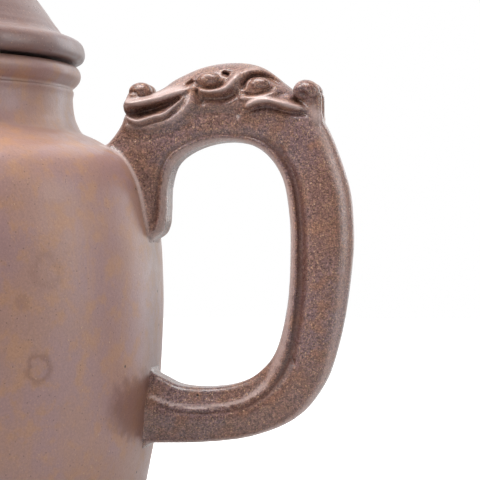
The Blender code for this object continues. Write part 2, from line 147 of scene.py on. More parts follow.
HANDLE_INNER = [
    (-8.0, -33.2, 3.6, 0.25, 0.3, 1.3), (-0.5, -34.5, 4.2, 0.25, 0.35, 1.3),
    (4.0, -36.4, 3.8, 0.25, 0.35, 1.3), (8.8, -36.7, 3.7, 0.25, 0.4, 1.3),
    (13.4, -36.0, 3.7, 0.3, 0.4, 1.3), (17.0, -34.1, 3.3, 0.4, 0.45, 1.4),
    (19.8, -30.4, 2.5, 0.5, 0.6, 1.5), (21.55, -23.0, 1.85, 0.5, 0.7, 1.4),
    (22.0, -15.0, 1.75, 0.5, 0.75, 1.4), (21.8, -8.8, 1.75, 0.5, 0.75, 1.4),
    (20.6, -2.8, 1.75, 0.5, 0.6, 1.3), (17.45, 1.3, 1.4, 0.35, 0.45, 1.1),
    (13.0, 2.8, 0.95, 0.22, 0.25, 0.9), (7.9, 2.15, 1.2, 0.22, 0.25, 1.0),
    (3.7, -0.3, 1.35, 0.22, 0.3, 1.1), (2.25, -4.0, 1.3, 0.25, 0.4, 1.1),
    (2.0, -8.2, 1.45, 0.3, 0.5, 1.1), (1.8, -10.4, 1.5, 0.3, 0.5, 1.1),
    (0.9, -12.1, 1.2, 0.22, 0.2, 0.9), (-1.2, -12.8, 1.2, 0.22, 0.15, 0.9),
    (-8.0, -13.0, 1.0, 0.25, 0.1, 0.8),
]

# The handle's half thickness, how far its side face swells between its edges and again over the
# head, how much thinner the snout is, and how round the edges are
HALF_THICKNESS = 3.9
SIDE_SWELL = 0.35
HEAD_SWELL = 0.35
SNOUT_THINNING = 0.55
EDGE_ROUNDING = 1.0

# The rows of HANDLE_INNER that belong to the lower arm
LOWER_ARM_ROWS = 6.0

# The handle's joint with the pot: how far the clay is wiped out sideways and how far from the wall
# that reaches, the fillet, how much larger it is at the tongue and at the lower joint's two corners,
# and those corners' heights and reach
FLARE = 0.3
FLARE_REACH = 1.8
FILLET = 0.8
TONGUE_FILLET = 0.2
CORNER_FILLET = 0.7
CORNER_HEIGHTS = (-33.5, -45.8)
CORNER_REACH = 1.6

# How far under the wall's surface a fillet runs out, and how far a joined piece reaches into the wall
FEATHER_DEPTH = 0.05
SINK_DEPTH = 0.3

# The tone, which paints light and shade into the clay's colour. Above 0 the clay is painted paler: painted
# highlight on the bevels,
# the lower arm's lip, the head's raised marks and the joint line, and paler clay over the tongue. Below 0 it
# is painted darker:
# painted shade in the crease, the head's grooves and the pellets' dents. The crease's, the ridges' and the
# hollows' are for each mm of their depth or height.
CREASE_PAINTED_SHADE = -2.6
INNER_BEVEL_PAINTED_HIGHLIGHT = 1.05
OUTER_BEVEL_PAINTED_HIGHLIGHT = 1.2
LIP_PAINTED_HIGHLIGHT = 0.9
TONGUE_TONE = 0.45
RIDGE_PAINTED_HIGHLIGHT = 1.1
HOLLOW_PAINTED_SHADE = 0.7
DENT_PAINTED_SHADE = -1.3

# The painted highlight along the joint: its distance from the wall, its width, and its tone by height, faint
# low down and strongest at the top
JOINT_LINE = 0.15
JOINT_LINE_WIDTH = 0.22
JOINT_HEIGHTS = (36.0, 44.0, 52.0, 60.0)
JOINT_HIGHLIGHTS = (0.15, 0.6, 0.6, 1.3)

# Marks modelled on each side of the head, as (points, half widths, heights, share of the line that
# fades at its start and end). Heights are above the side face, and a groove's are negative.
SCULPTING = [
    # upper lip, the open mouth, lower lip with the fine line under it, and the chin with its crease
    ([(-4.8, 8.95), (-3.2, 9.0), (0.2, 9.75), (3.1, 10.55), (5.0, 10.95), (5.8, 10.5)],
     (1.0, 0.9, 0.5), (1.45, 1.3, 0.5), 0.02, 0.2),
    ([(-5.4, 7.7), (-4.0, 7.8), (-1.8, 7.9), (0.8, 8.5), (3.2, 9.3), (5.0, 10.1)],
     (0.65, 0.7, 0.3), (-2.8, -2.2, -0.5), 0.01, 0.15),
    ([(-5.0, 7.3), (-3.6, 6.4), (-2.3, 6.1), (0.2, 6.8), (1.7, 7.1), (3.1, 8.0), (4.3, 9.0), (5.5, 10.2)],
     (0.32, 0.38, 0.35), (0.9, 0.9, 0.5), 0.02, 0.15),
    ([(-4.6, 6.1), (-2.2, 5.4), (0.3, 6.0), (2.2, 6.5), (3.8, 7.7), (5.2, 9.1)],
     (0.25, 0.25), (-0.3, -0.3), 0.1, 0.3),
    ([(-4.8, 5.6), (-1.5, 5.2), (1.0, 5.6), (3.4, 6.3), (5.3, 7.8), (6.3, 9.4), (6.4, 11.0)],
     (1.0, 1.0, 0.8), (0.55, 0.55, 0.5), 0.03, 0.25),
    ([(-4.5, 5.0), (-3.0, 4.3), (-1.0, 3.9), (2.6, 4.3), (5.0, 5.3), (6.9, 6.7), (8.1, 8.2)],
     (1.3, 1.4, 0.8), (-0.25, -0.3, -0.35), 0.3, 0.3),
    # the pinch at the nostril's lower front, the crease behind the mouth, the curling ridge below the
    # cheek bead and its hollow
    ([(-4.1, 10.3), (-3.4, 10.2), (-2.7, 10.3)], (0.45, 0.4), (-1.5, -1.5), 0.1, 0.1),
    ([(7.2, 11.2), (7.3, 10.3), (7.7, 9.3), (8.5, 8.3)], (0.3, 0.45), (-0.8, -0.7), 0.1, 0.25),
    ([(7.4, 11.2), (8.4, 10.8), (9.8, 10.7), (11.5, 10.9), (12.6, 11.6), (13.5, 12.6), (14.2, 13.7),
      (15.4, 14.7)],
     (0.4, 0.5, 0.8), (0.7, 1.0, 0.9), 0.12, 0.3),
    ([(7.8, 9.6), (9.8, 9.5), (11.7, 9.6), (13.2, 10.3), (14.0, 11.4)],
     (0.6, 0.7, 0.5), (-0.9, -1.0, -0.7), 0.1, 0.3),
    # round the cheek bead, and the two pinholes beside it
    ([(6.6, 12.7), (7.5, 11.7), (9.3, 11.2), (11.0, 11.6), (11.7, 12.5)],
     (0.3, 0.35, 0.3), (-0.5, -0.8, -0.5), 0.15, 0.2),
    ([(5.0, 11.7), (5.8, 12.1), (6.5, 12.5)], (0.22, 0.35), (-0.6, -1.3), 0.3, 0.1),
    ([(11.3, 13.7), (11.8, 13.6), (12.4, 13.3)], (0.3, 0.36), (-1.2, -1.4), 0.1, 0.1),
    # the eye's socket: the dark arch under the brow, the brow, and the lower lid
    ([(14.7, 10.6), (14.9, 12.1), (15.7, 13.0), (17.0, 13.25), (18.6, 12.9), (19.8, 12.1), (20.7, 11.6)],
     (0.32, 0.38, 0.28), (-0.9, -1.5, -0.7), 0.12, 0.15),
    ([(14.6, 13.2), (15.6, 14.0), (17.3, 14.3), (19.2, 13.7), (20.8, 12.6)],
     (0.5, 0.5, 0.45), (0.5, 0.7, 0.4), 0.2, 0.2),
    ([(14.9, 10.4), (16.0, 10.0), (17.4, 10.2), (18.8, 10.6), (19.9, 11.5)],
     (0.25, 0.25), (-0.6, -0.5), 0.15, 0.2),
    ([(13.8, 9.5), (15.3, 9.5), (17.3, 9.7), (19.2, 10.1), (20.8, 10.9)],
     (0.45, 0.45, 0.4), (0.6, 0.7, 0.4), 0.2, 0.25),
    # the jaw's ridge, the groove under it, the dimple above it and the hollow below the ear
    ([(15.0, 7.8), (16.0, 8.6), (17.4, 9.0), (19.3, 9.1), (21.1, 8.6), (23.0, 8.2), (24.9, 8.5), (26.4, 8.0)],
     (0.42, 0.5, 0.8), (1.0, 1.1, 0.9), 0.1, 0.2),
    ([(14.8, 6.8), (16.2, 7.7), (17.6, 8.05), (19.3, 8.05), (21.1, 7.5), (23.0, 7.1), (24.9, 7.0),
      (26.0, 5.8)],
     (0.45, 0.5, 0.4), (-0.6, -0.9, -0.7), 0.15, 0.3),
    ([(20.3, 10.0), (21.0, 10.1), (21.9, 9.9)], (0.5, 0.4), (-0.45, -0.3), 0.1, 0.4),
    ([(22.6, 9.8), (23.2, 9.0), (24.4, 8.5), (25.8, 8.7)], (0.5, 0.55), (-1.2, -1.5), 0.2, 0.25),
    # the flat band under the head
    ([(6.8, 6.8), (8.6, 7.4), (10.6, 7.5), (12.8, 7.3), (14.5, 6.8)],
     (1.0, 1.0), (-0.45, -0.45), 0.2, 0.2),
    # a thumb's dent at the arch's inner corner and a nick near the lower bend
    ([(20.3, 2.3), (21.0, 1.3), (21.4, 0.2)], (0.35, 0.3), (-0.35, -0.25), 0.2, 0.3),
    ([(22.3, -31.6), (22.7, -32.2), (22.9, -33.0)], (0.22, 0.22), (-0.35, -0.3), 0.2, 0.3),
]

# Pellets set on the head: node name, centre as for the outline, distance from the middle plane, half
# sizes, and the dent pressed into it as (depth and width as shares of its size, direction towards it)
PELLETS = [
    ("nostril", (-2.5, 10.95), 1.5, (1.9, 2.1, 1.6), (0.35, 0.3, (-0.4, -0.88, -0.25))),
    ("cheek_bead", (9.2, 12.6), 3.7, (2.05, 1.35, 1.25), None),
    ("eye", (17.3, 11.75), 3.6, (1.65, 1.5, 1.15), None),
    ("ear", (24.65, 10.8), 2.6, (2.1, 2.0, 1.65), (0.4, 0.5, (-0.2, -0.82, -0.53))),
]
PELLET_RINGS = 40
PELLET_SPOKES = 64

# The clay under the ear and the nostril, as (start, end, distance from the middle plane, radius at the
# start, radius at the end), and the width of its blend with the head
STALKS = [((25.6, 9.7), (25.8, 6.4), 1.9, 1.45, 1.3), ((-3.0, 9.9), (-3.9, 8.4), 1.6, 1.7, 1.4)]
STALK_BLEND = 0.9

# The spout's line as (share of its reach, share of the mouth's height), from inside the wall to past
# the tip, and the distances from the pot's axis where it starts and where its tip is
SPOUT_START = 36.3
SPOUT_TIP = 71.6
SPOUT_LINE = [(0.0, 0.37), (0.36, 0.42), (0.64, 0.57), (0.83, 0.78), (1.0, 1.0), (1.1, 1.12)]
SPOUT_LINE_STEPS = 10
SPOUT_ROOT_RADIUS = 10.6
SPOUT_TIP_RADIUS = 5.6
SPOUT_TAPER = 1.3
SPOUT_WALL = 1.8
SPOUT_FILLET = 3.2
SPOUT_TIP_ROUNDING = 0.9
SPOUT_BORE_ROUNDING = 0.7

# The hole through the wall behind the spout and the pierced disc that stands in it
SPOUT_HEIGHT = 29.9
SPOUT_BORE = 7.9
DRILL_MIDDLE = -43.5
DRILL_LENGTH = 16
STRAINER_MIDDLE = -43.0
STRAINER_RADIUS = 7.75
STRAINER_HALF_THICKNESS = 0.85
STRAINER_ROUNDING = 0.4
STRAINER_HOLE = 1.1
STRAINER_HOLE_ROUNDING = 0.35
STRAINER_RING = 4.6
STRAINER_RING_HOLES = 6

# Colours in the clay, as 0 to 255, with the painted shade's and the painted highlight's colours
STAIN_AND_SHADE_BROWN = (104, 70, 58)
DARK_SAND = (62, 40, 38)
# The painted shade's colour, for creases, grooves and dents, and the painted highlight's colour, for bevels,
# ridges and the joint line
PAINTED_SHADE_BROWN = (70, 40, 33)
PAINTED_HIGHLIGHT_COLOUR = (190, 167, 161)
PORE_DARK = (34, 24, 24)

# Marks on the wall near the handle: two drip rings and a spot, which are stains, and a browner patch beside
# the lower joint, which is a painted shadow and reflection of the lower arm, as (centre, inner radius, outer
# radius, strength, stretch)
ROUND = (1.0, 1.0, 1.0)
STAINS_AND_PAINTED_SHADE = [
    ((33.6, -29.8, 33.1), 1.8, 3.0, 0.5, ROUND),
    ((34.4, -28.8, 47.4), 2.2, 3.6, 0.25, ROUND),
    ((31.5, -32.0, 42.8), 0.0, 1.6, 0.28, ROUND),
    # Painted shadow and reflection of the lower arm: the wall made browner beside the lower joint
    ((44.8, -4.5, 25.5), 0.0, 9.5, 0.66, (1.0, 0.55, 1.4)),
]

# The studio, in metres, watts and shares of white. BRIGHT_SIDE is the way to its brightest side. The
# softboxes are (name, place, size, power), all turned to LIT_POINT.
WHITE = (1.0, 1.0, 1.0, 1.0)
FLOOR_RADIUS = 0.9
FLOOR_GREY = (0.5, 0.5, 0.5, 1.0)
FLOOR_LIFT = 0.75
BRIGHT_SIDE = (-0.26, 0.97, 0.0)
LIT_POINT = (0.03, 0.0, 0.055)
SOFTBOXES = [
    ("overhead softbox", (0.0, -0.12, 0.58), (0.5, 0.3), 5.2),
    ("left softbox", (-0.45, -0.34, 0.38), (0.25, 0.45), 3.7),
    ("right softbox", (0.55, 0.04, 0.16), (0.1, 0.4), 0.85),
    ("rear softbox", (0.31, 0.46, 0.16), (0.16, 0.4), 0.5),
]
CAMERA_PLACE = (0.1058, -0.2867, 0.052)
CAMERA_TURN = 9.3
CAMERA_LENS = 135
CAMERA_SENSOR = 36


# ---------------------------------------------------------------- numbers and fields

def smooth_line(points, steps=LINE_STEPS, closed=False):
    """A Catmull-Rom line through the points, with that many steps to each span."""
    corners = np.array(points, float)
    count = len(corners)
    rows = []
    for i in range(count if closed else count - 1):
        near = [(i + k) % count if closed else min(max(i + k, 0), count - 1) for k in (-1, 0, 1, 2)]
        a, b, c, d = corners[near]
        slope = c - a
        bend = 2 * a - 5 * b + 4 * c - d
        twist = 3 * b - a - 3 * c + d
        for t in np.arange(steps) / steps:
            rows.append(0.5 * (2 * b + slope * t + bend * t**2 + twist * t**3))
    if not closed:
        rows.append(corners[-1])
    return np.array(rows)


def nearest(places, line):
    """Each place's distance to the line, and how many of the line's steps along it the nearest point is."""
    best = np.full(len(places), 1e9)
    position = np.zeros(len(places))
    for index, (a, b) in enumerate(zip(line[:-1], line[1:])):
        span = b - a
        share = np.clip((places - a) @ span / max(span @ span, 1e-12), 0.0, 1.0)
        distance = np.linalg.norm(places - a - share[:, None] * span, axis=1)
        closer = distance < best
        best[closer] = distance[closer]
        position[closer] = index + share[closer]
    return best, position


def is_inside(places, loop):
    """Which places are inside the loop, by how often a level ray from each crosses it."""
    x, z = places.T
    found = np.zeros(len(places), bool)
    for (ax, az), (bx, bz) in zip(loop, np.roll(loop, -1, axis=0)):
        if az != bz:
            found ^= ((az > z) != (bz > z)) & (x < ax + (z - az) / (bz - az) * (bx - ax))
    return found


def rise(value, start, width):
    """0 up to the start, then evenly up to 1 over the width."""
    return np.clip((value - start) / width, 0, 1)


def fall(value, end, width):
    """1, then evenly down over the width to 0 at the end."""
    return np.clip((end - value) / width, 0, 1)


def bell(value, middle, width):
    """1 at the middle, fading to nothing on both sides."""
    return np.exp(-(((value - middle) / width) ** 2))


def smooth_max(a, b, width):
    """The larger of two fields, rounded where they cross."""
    share = np.clip(0.5 + 0.5 * (a - b) / width, 0.0, 1.0)
    return b * (1 - share) + a * share + width * share * (1 - share)


def smooth_min(a, b, width):
    """The smaller of two fields, filleted where they cross."""
    return -smooth_max(-a, -b, width)


def spread(values, along):
    """Values given evenly along something, read at the shares in along."""
    return np.interp(along, np.linspace(0.0, 1.0, len(values)), values)


def grid_places(first, second):
    """Every pair of a value of the first axis and one of the second, in rows."""
    return np.stack(np.meshgrid(first, second, indexing="ij"), axis=-1).reshape(-1, 2)


def pot_distance():
    """How far each (radius, height) is outside the pot's solid form, as a table with its two axes."""
    radii = np.arange(*POT_TABLE_RADII)
    heights = np.arange(*POT_TABLE_HEIGHTS)
    places = grid_places(radii, heights)
    neck_radius = POT_OUTSIDE[-1][0]
    bottom = POT_OUTSIDE[0][1]
    outside = smooth_line(POT_OUTSIDE)
    loop = np.vstack([[0.0, bottom], outside, [neck_radius, ABOVE_TABLE], [0.0, ABOVE_TABLE]])
    distance, _ = nearest(places, loop[1:-1])
    distance[is_inside(places, loop)] *= -1
    return radii, heights, distance.reshape(len(radii), len(heights))


POT_TABLE = pot_distance()


def from_pot(x, y, z):
    """How far points are outside the pot, read from its table."""
    radii, heights, table = POT_TABLE
    r = np.clip((np.hypot(x, y) - radii[0]) / TABLE_STEP, 0, len(radii) - 1.001)
    h = np.clip((z + 0 * r - heights[0]) / TABLE_STEP, 0, len(heights) - 1.001)
    i, j = r.astype(int), h.astype(int)
    u, v = r - i, h - j
    low = table[i, j] * (1 - u) + table[i + 1, j] * u
    high = table[i, j + 1] * (1 - u) + table[i + 1, j + 1] * u
    return low * (1 - v) + high * v


# ---------------------------------------------------------------- meshes

def add_mesh(name, points, faces, body, nodes):
    """A smooth-shaded piece that stands for those CAD nodes."""
    mesh = bpy.data.meshes.new(name)
    mesh.from_pydata((np.asarray(points) * MM).tolist(), [], np.asarray(faces).tolist())
    mesh.validate()
    mesh.polygons.foreach_set("use_smooth", [True] * len(mesh.polygons))
    piece = bpy.data.objects.new(name, mesh)
    bpy.context.scene.collection.objects.link(piece)
    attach(piece, body)
    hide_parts(*nodes)
    return piece


def turned(name, outline, body, nodes, wobble=WHEEL_WOBBLE):
    """A piece thrown on the wheel: the outline turned about Z, very slightly out of true. An outline that
    starts on the axis is open, and any other is a closed loop."""
    touches_axis = outline[0][0] == 0.0
    line = smooth_line(outline, TURNED_LINE_STEPS, closed=not touches_axis)
    count = len(line)
    turn = np.linspace(0.0, 2 * math.pi, TURN_STEPS, endpoint=False)[:, None]
    wave = np.sin(2 * turn + WOBBLE_TWIST * line[:, 1])
    radius = line[:, 0] + wobble * wave * rise(line[:, 0], 0, WOBBLE_RADIUS)
    radius[:, line[:, 0] == 0.0] = 0.0
    points = np.stack([radius * np.cos(turn), radius * np.sin(turn), line[:, 1] + 0 * turn], axis=-1)
    spans = count - 1 if touches_axis else count
    column = np.arange(TURN_STEPS)[:, None] * count
    next_column = np.roll(column, -1, axis=0)
    here = np.arange(spans)[None, :]
    after = (here + 1) % count
    faces = np.stack([column + here, next_column + here, next_column + after, column + after], axis=-1)
    piece = add_mesh(name, points.reshape(-1, 3), faces.reshape(-1, 4), body, nodes)
    if touches_axis:
        close_at_axis(piece.data)
    return piece


def close_at_axis(mesh):
    """Joins the many points that lie together on the axis."""
    work = bmesh.new()
    work.from_mesh(mesh)
    bmesh.ops.remove_doubles(work, verts=work.verts, dist=1e-7)
    work.to_mesh(mesh)
    work.free()


def from_field(name, field, axes, body, nodes):
    """A piece whose surface is where the field is zero. The field is negative inside."""
    grid = openvdb.FloatGrid(background=FIELD_LIMIT)
    grid.copyFromArray(np.clip(field, -FIELD_LIMIT, FIELD_LIMIT).astype(np.float32))
    steps, faces = grid.convertToQuads(isovalue=0.0)
    points = np.column_stack([np.interp(steps[:, k], np.arange(len(axes[k])), axes[k]) for k in range(3)])
    return add_mesh(name, points, faces[:, ::-1], body, nodes)


# ---------------------------------------------------------------- the handle

def beside_line(places, rows):
    """How far places are from the line through rows that start with a point, which row is nearest, as a
    number with a share, and the rows' other values there."""
    table = np.array(rows)
    distance, at = nearest(places, smooth_line(table[:, :2]))
    row = at / LINE_STEPS
    values = [np.interp(row, np.arange(len(table)), column) for column in table[:, 2:].T]
    return distance, row, values


def sculpted(places):
    """The height of the head's marks over the side face, and their tone: painted highlight on the raised
    marks and painted shade in the grooves.
    """
    height = np.zeros(len(places))
    tone = np.zeros(len(places))
    for points, widths, heights, start, end in SCULPTING:
        line = smooth_line(points)
        distance, at = nearest(places, line)
        along = at / (len(line) - 1)
        fade = rise(along, 0, start) * fall(along, 1, end)
        fade = fade * fade * (3 - 2 * fade)
        mark = spread(heights, along) * fade * bell(distance, 0, spread(widths, along))
        height += mark
        # Painted highlight on the raised marks and painted shade in the grooves
        tone += np.where(mark > 0, RIDGE_PAINTED_HIGHLIGHT, HOLLOW_PAINTED_SHADE) * mark
    return height, tone


def side_height(places):
    """How far the handle's side face stands from the middle plane, and the tone there, which paints highlight
    and shade into the clay's colour.
    """
    from_outer, _, (bevel, drop) = beside_line(places, HANDLE_OUTER)
    from_inner, row, (crease, half, depth, inner_drop) = beside_line(places, HANDLE_INNER)
    u, w = places.T

    # How far a place is on the lower arm, the head, the snout and the tongue, as shares
    lower_arm = fall(row, LOWER_ARM_ROWS, 1.0)
    head = rise(w, 7.0, 1.6) * rise(u, 5.0, 2.0) * fall(u, 28.0, 3.0)
    snout = rise(w, 1.0, 5.0) * fall(u, 5.5, 5.0)
    tongue = fall(w, -2.0, 6.0) * fall(u, 6.0, 3.0) * rise(w, -20.0, 3.0)

    across = np.clip(from_inner / (from_inner + from_outer), 0, 1)
    height = HALF_THICKNESS + SIDE_SWELL * np.sin(math.pi * across) ** 2
    height += HEAD_SWELL * head - SNOUT_THINNING * snout

    # The outer bevel is rounder over the head
    slope = fall(from_outer, bevel, bevel)
    crisp = 0.5 * (1 - head)
    height -= drop * (crisp * slope + (1 - crisp) * slope**2)

    # The inner bevel drops from a crease, which is steeper on the bevel's side. On the lower arm it
    # drops at once and then flattens.
    ramp = fall(from_inner, crease - half, crease - half)
    beyond = from_inner - crease
    groove = depth * bell(beyond, 0, np.where(beyond > 0, 2.2 * half, half))
    height -= inner_drop * ramp ** (1.4 - 0.85 * lower_arm) + groove

    # Painted highlight on the inner bevel, weaker over the tongue and none on the lower arm
    polish = INNER_BEVEL_PAINTED_HIGHLIGHT * (1 - lower_arm) * (1 - 0.65 * tongue)
    # A painted highlight on the lower arm's lip just above the crease
    lip = bell(from_inner, crease - 3 * half, 1.6 * half)
    # Painted shade in the crease, added to the painted highlights of the inner bevel and the lower arm's lip
    tone = CREASE_PAINTED_SHADE * groove + polish * rise(ramp, 0, 0.5) + LIP_PAINTED_HIGHLIGHT * lower_arm * lip
    # Painted highlight on the outer bevel away from the head, and paler clay over the tongue
    tone += OUTER_BEVEL_PAINTED_HIGHLIGHT * slope**1.3 * (1 - head) + TONGUE_TONE * tongue
    marks, mark_tone = sculpted(places)
    return height + marks, tone + mark_tone


def trim_joint(field, shape, to_pot, fillet):
    """Cuts a filleted shape off just under the pot's surface and where its fillet has run out."""
    return np.maximum(np.maximum(field, -(to_pot + SINK_DEPTH)), shape - fillet)


def make_handle():
    """The loop handle with its modelled head, run into the pot's wall by a wiped fillet."""
    x = np.arange(*HANDLE_ACROSS)
    y = np.arange(*HANDLE_SIDEWAYS)
    z = np.concatenate([np.arange(*HANDLE_UP_BAR), np.arange(*HANDLE_UP_HEAD)])
    places = grid_places(x, z)
    outer = smooth_line([row[:2] for row in HANDLE_OUTER])
    inner = smooth_line([row[:2] for row in HANDLE_INNER])
    loop = np.vstack([outer, inner])
    edge, _ = nearest(places, np.vstack([loop, loop[:1]]))
    edge[is_inside(places, loop)] *= -1
    height, tone = side_height(places)
    shape = (len(x), 1, len(z))
    edge, height, tone = (a.reshape(shape) for a in (edge, height, tone))
    across, up = x[:, None, None], z[None, None, :]
    side = np.abs(y)[None, :, None]
    to_pot = from_pot(across + BELLY_RADIUS, side, up + SHOULDER_HEIGHT)
    at_tongue = rise(up, -20.0, 4.0)
    flare = FLARE * (1 + at_tongue) * np.exp(-np.maximum(to_pot, 0) / FLARE_REACH)
    crest = rise(up, 7.0, 3.0)
    handle = smooth_max(side - height - flare, edge, EDGE_ROUNDING * (1 + crest))
    for stalk in STALKS:
        handle = smooth_min(handle, capsule(across, side, up, *stalk), STALK_BLEND)
    at_corners = sum(bell(up, corner, CORNER_REACH) for corner in CORNER_HEIGHTS)
    fillet = FILLET + TONGUE_FILLET * at_tongue + CORNER_FILLET * at_corners
    joined = smooth_min(handle, to_pot + FEATHER_DEPTH, fillet)
    field = trim_joint(joined, handle, to_pot, fillet)
    axes = (x + BELLY_RADIUS, y, z + SHOULDER_HEIGHT)
    nodes = ("handle_loop", "brow_right", "brow_left")
    piece = from_field("handle", field, axes, "pot", nodes)
    set_tone(piece, x, z, tone[:, 0, :])
    return piece


def capsule(u, y, w, start, end, from_plane, wide, narrow):
    """A rounded bar in the handle's coordinates, thinning from its start to its end."""
    length_u, length_w = end[0] - start[0], end[1] - start[1]
    from_u, from_w = u - start[0], w - start[1]
    share = np.clip((from_u * length_u + from_w * length_w) / (length_u**2 + length_w**2), 0, 1)
    in_plane = (from_u - share * length_u) ** 2 + (from_w - share * length_w) ** 2
    return np.sqrt(in_plane + (y - from_plane) ** 2) - (wide + (narrow - wide) * share)


def set_tone(piece, x, z, tone):
    """Stores the handle's tone, which paints highlight and shade into the clay's colour, with a painted
    highlight along its joint.
    """
    count = len(piece.data.vertices)
    points = np.zeros(count * 3)
    piece.data.vertices.foreach_get("co", points)
    points = points.reshape(-1, 3) / MM
    i = np.interp(points[:, 0] - BELLY_RADIUS, x, np.arange(len(x)))
    k = np.interp(points[:, 2] - SHOULDER_HEIGHT, z, np.arange(len(z)))
    values = tone[np.round(i).astype(int), np.round(k).astype(int)]
    values = values * rise(np.abs(points[:, 1]), 1.0, 2.0)
    # A painted highlight along the joint with the wall, strongest up near the tongue
    joint = bell(from_pot(*points.T), JOINT_LINE, JOINT_LINE_WIDTH)
    joint_highlight = np.interp(points[:, 2], JOINT_HEIGHTS, JOINT_HIGHLIGHTS)
    store_tone(piece, values * (1 - joint) + joint_highlight * joint)


def store_tone(piece, values):
    """Stores a tone for each point of a piece's mesh."""
    layer = piece.data.attributes.new("tone", "FLOAT", "POINT")
    layer.data.foreach_set("value", values.astype(np.float32))


def make_pellet(name, place, from_plane, half_sizes, dent, side, word, seed):
    """A ball of clay pressed on by hand: nearly an ellipsoid, a little lumpy, and some with a dent."""
    lift = np.linspace(0.0, math.pi, PELLET_RINGS + 1)[:, None]
    turn = np.linspace(0.0, 2 * math.pi, PELLET_SPOKES, endpoint=False)[None, :]
    along = np.sin(lift) * np.cos(turn)
    outward = -np.cos(lift) + 0 * turn
    upward = np.sin(lift) * np.sin(turn)
    away = np.stack([along, outward, upward], axis=-1)
    broad_lumps = 0.03 * np.sin(3 * along + seed) * np.cos(2 * upward + 2 * seed)
    small_lumps = 0.015 * np.sin(5 * outward + 3 * seed)
    reach = 1 + broad_lumps + small_lumps
    if dent:
        depth, width, direction = dent
        pressed = np.exp(-(((away - np.array(direction)) / width) ** 2).sum(axis=-1))
        reach = reach - depth * pressed
    points = away * reach[..., None] * np.array(half_sizes) * np.array([1, -side, 1])
    points += np.array([BELLY_RADIUS + place[0], side * from_plane, SHOULDER_HEIGHT + place[1]])
    ring = np.arange(PELLET_RINGS)[:, None] * PELLET_SPOKES
    next_ring = ring + PELLET_SPOKES
    here = np.arange(PELLET_SPOKES)[None, :]
    after = (here + 1) % PELLET_SPOKES
    faces = np.stack([ring + here, next_ring + here, next_ring + after, ring + after], axis=-1)
    faces = faces.reshape(-1, 4)
    if side < 0:
        faces = faces[:, ::-1]
    piece = add_mesh(
        f"{name}_pellet_{word}", points.reshape(-1, 3), faces, "pot", [f"{name}_{word}"],
    )
    # Painted shade in the dent
    if dent:
        store_tone(piece, DENT_PAINTED_SHADE * pressed.ravel())
    close_at_axis(piece.data)
    return piece


# ---------------------------------------------------------------- the spout

def make_spout():
    """The curved spout, run into the wall by a fillet, hollow and cut level at the mouth's height."""
    x, y, z = np.arange(*SPOUT_ACROSS), np.arange(*SPOUT_SIDEWAYS), np.arange(*SPOUT_UP)
    reach = SPOUT_TIP - SPOUT_START
    corners = [(-SPOUT_START - a * reach, b * MOUTH_HEIGHT) for a, b in SPOUT_LINE]
    tip_at = SPOUT_LINE_STEPS * (len(corners) - 2)
    distance, at = nearest(grid_places(x, z), smooth_line(corners, SPOUT_LINE_STEPS))
    thinning = fall(at, tip_at, tip_at) ** SPOUT_TAPER
    radius = SPOUT_TIP_RADIUS + (SPOUT_ROOT_RADIUS - SPOUT_TIP_RADIUS) * thinning
    distance, radius = (a.reshape(len(x), 1, len(z)) for a in (distance, radius))
    across, side, up = x[:, None, None], y[None, :, None], z[None, None, :]
    away = np.sqrt(distance**2 + side**2)
    to_pot = from_pot(across, side, up)
    solid = smooth_max(away - radius, up - MOUTH_HEIGHT, SPOUT_TIP_ROUNDING)
    joined = smooth_min(solid, to_pot + FEATHER_DEPTH, SPOUT_FILLET)
    bore = away - (radius - SPOUT_WALL)
    hollow = smooth_max(joined, -bore, SPOUT_BORE_ROUNDING)
    field = trim_joint(hollow, solid, to_pot, SPOUT_FILLET)
    return from_field("spout_body", field, (x, y, z), "pot", ["spout"])


def make_strainer():
    """The pierced disc in the wall behind the spout."""
    x, y = np.arange(*STRAINER_THROUGH), np.arange(*STRAINER_ACROSS)
    across, side, up = x[:, None, None], y[None, :, None], y[None, None, :]
    rim = np.sqrt(side**2 + up**2) - STRAINER_RADIUS
    disc = smooth_max(rim, np.abs(across) - STRAINER_HALF_THICKNESS, STRAINER_ROUNDING)
    holes = [(0.0, 0.0)]
    for k in range(STRAINER_RING_HOLES):
        angle = 2 * math.pi * k / STRAINER_RING_HOLES
        holes.append((STRAINER_RING * math.cos(angle), STRAINER_RING * math.sin(angle)))
    for hole_y, hole_z in holes:
        hole = STRAINER_HOLE - np.sqrt((side - hole_y) ** 2 + (up - hole_z) ** 2)
        disc = smooth_max(disc, hole, STRAINER_HOLE_ROUNDING)
    axes = (x + STRAINER_MIDDLE, y, y + SPOUT_HEIGHT)
    return from_field("strainer", disc, axes, "pot", ["spout_strainer"])


def pierce_wall(wall):
    """Opens the wall behind the spout."""
    bpy.ops.mesh.primitive_cylinder_add(
        vertices=64, radius=SPOUT_BORE * MM, depth=DRILL_LENGTH * MM, rotation=(0, math.pi / 2, 0),
        location=(DRILL_MIDDLE * MM, 0, SPOUT_HEIGHT * MM),
    )
    drill = bpy.context.object
    cut = wall.modifiers.new("spout hole", "BOOLEAN")
    cut.operation = "DIFFERENCE"
    cut.solver = "EXACT"
    cut.object = drill
    bpy.context.view_layer.update()
    shaped = bpy.data.meshes.new_from_object(wall.evaluated_get(bpy.context.evaluated_depsgraph_get()))
    wall.modifiers.remove(cut)
    wall.data = shaped
    bpy.data.objects.remove(drill)


# ---------------------------------------------------------------- clay

def add_node(tree, kind, inputs=None, **settings):
    """A shader node with its settings made and its inputs linked or set."""
    made = tree.nodes.new("ShaderNode" + kind)
    for key, value in settings.items():
        setattr(made, key, value)
    for key, value in (inputs or {}).items():
        if isinstance(value, bpy.types.NodeSocket):
            tree.links.new(value, made.inputs[key])
        else:
            made.inputs[key].default_value = value
    return made


